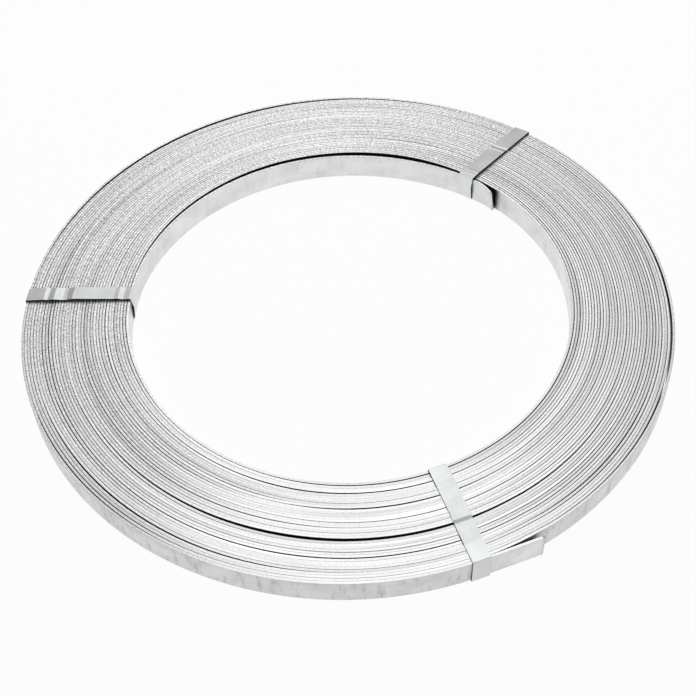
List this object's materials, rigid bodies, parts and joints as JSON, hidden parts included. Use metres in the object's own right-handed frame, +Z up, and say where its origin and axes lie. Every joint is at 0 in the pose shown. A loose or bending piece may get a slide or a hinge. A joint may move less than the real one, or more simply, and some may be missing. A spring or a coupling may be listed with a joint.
{
  "type": "earthing strip coil",
  "caption": "Coil of flat galvanised steel earthing strip lying flat on its edges, tied by thin steel straps round its section, with a free strip end inside the eye and another outside",
  "frame": {"origin": "middle of the coil's eye, on the surface the coil lies on", "axes": "+Z up along the coil's axis; -Y to the side where the outer end leaves the coil under a strap; +X to the right seen from that side"},
  "size_m": [0.6949, 0.6969, 0.0347],
  "materials": {
    "galvanised_strip": "hot-dip galvanised, matt light grey with faint drip streaks",
    "strap_steel": "smooth zinc-coated strapping, satin"
  },
  "bodies": {
    "root": {"strip_coil": "galvanised_strip", "strap_front": "strap_steel", "strap_left": "strap_steel", "strap_rear": "strap_steel"}
  },
  "joints": []
}
